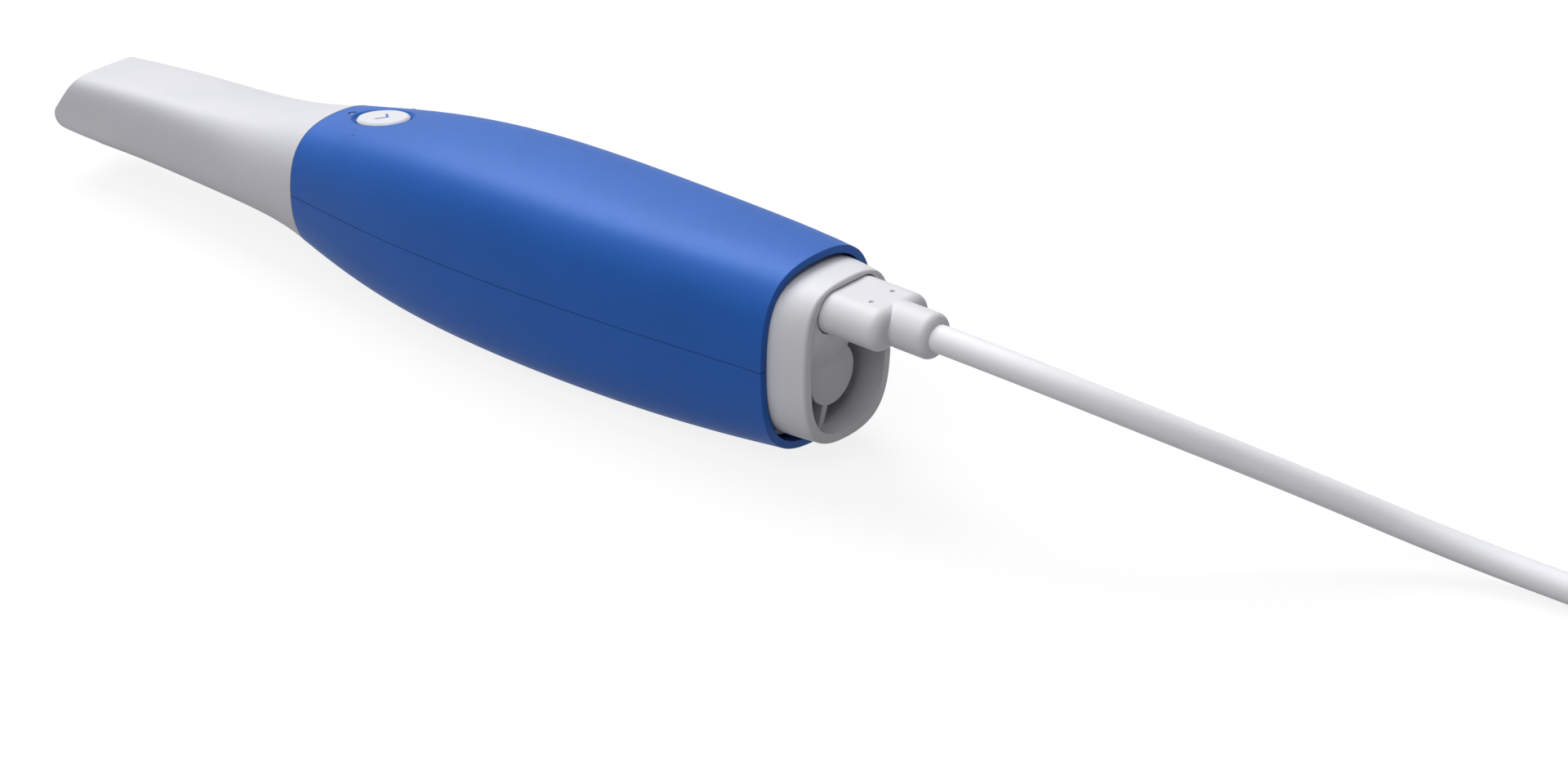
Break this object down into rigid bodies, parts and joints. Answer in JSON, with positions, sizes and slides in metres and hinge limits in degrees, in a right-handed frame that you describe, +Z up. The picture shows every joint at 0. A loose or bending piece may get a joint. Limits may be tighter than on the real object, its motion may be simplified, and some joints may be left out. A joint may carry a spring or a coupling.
{
  "type": "intraoral scanner",
  "caption": "Handheld intraoral scanner with a slim removable tip, an oval scan button, a vented rear end cap with a fan, and a plug-in cable.",
  "frame": {"origin": "middle of the handpiece on the surface that its belly rests on", "axes": "+X along the handpiece from the scanning tip to the cable end, +Z up through the scan button, Y across it"},
  "size_m": [0.5431, 0.0877, 0.0475],
  "materials": {
    "body_shell": "fine matte grain",
    "button": "satin",
    "silicone": "matte",
    "circuit_board": "solder mask",
    "black_plastic": "matte",
    "steel": "satin",
    "light_pipe": "clear",
    "tip": "satin",
    "mirror": "polished",
    "glass": "polished",
    "metal_frame": "bead blasted",
    "grey_plastic": "satin",
    "cable_jacket": "soft matte"
  },
  "bodies": {
    "handpiece": {"upper_case": "body_shell", "lower_case": "body_shell", "button_gasket": "silicone", "button_board": "circuit_board", "button_switch": "black_plastic", "button_screws": "steel", "status_light": "light_pipe", "nose_barrel": "black_plastic", "nose_window": "glass", "nose_seal": "silicone", "chassis": "metal_frame", "projector_housing": "black_plastic", "projector_lens": "glass", "camera_left": "black_plastic", "camera_lens_left": "glass", "camera_right": "black_plastic", "camera_lens_right": "glass", "heat_sink": "metal_frame", "thermal_pad": "silicone", "main_board": "circuit_board", "board_chips": "black_plastic", "end_cap": "grey_plastic", "fan_frame": "black_plastic", "fan_bearing": "steel", "fan_stator": "steel", "usb_socket": "steel", "socket_board": "circuit_board", "plug_body": "grey_plastic", "plug_shell": "steel", "cable": "cable_jacket", "cable_coil": "cable_jacket", "cable_tail": "cable_jacket", "far_plug_body": "grey_plastic", "far_plug_shell": "steel"},
    "button": {"scan_button": "button"},
    "fan": {"fan_rotor": "black_plastic"},
    "tip": {"tip_housing": "tip", "tip_mirror": "mirror"}
  },
  "joints": [
    {"name": "button_press", "type": "slide", "parent": "handpiece", "child": "button", "axis": [0.189, 0, -0.982], "range_m": [0, 0.0005], "stiffness_N_per_m": 1500, "springref_m": -0.0002},
    {"name": "fan_spin", "type": "hinge", "parent": "handpiece", "child": "fan", "pos_m": [0.1016, 0, 0.02], "axis": [1, 0, 0], "continuous": true},
    {"name": "tip_slide", "type": "slide", "parent": "handpiece", "child": "tip", "axis": [-1, 0, 0], "range_m": [0, 0.06]}
  ]
}
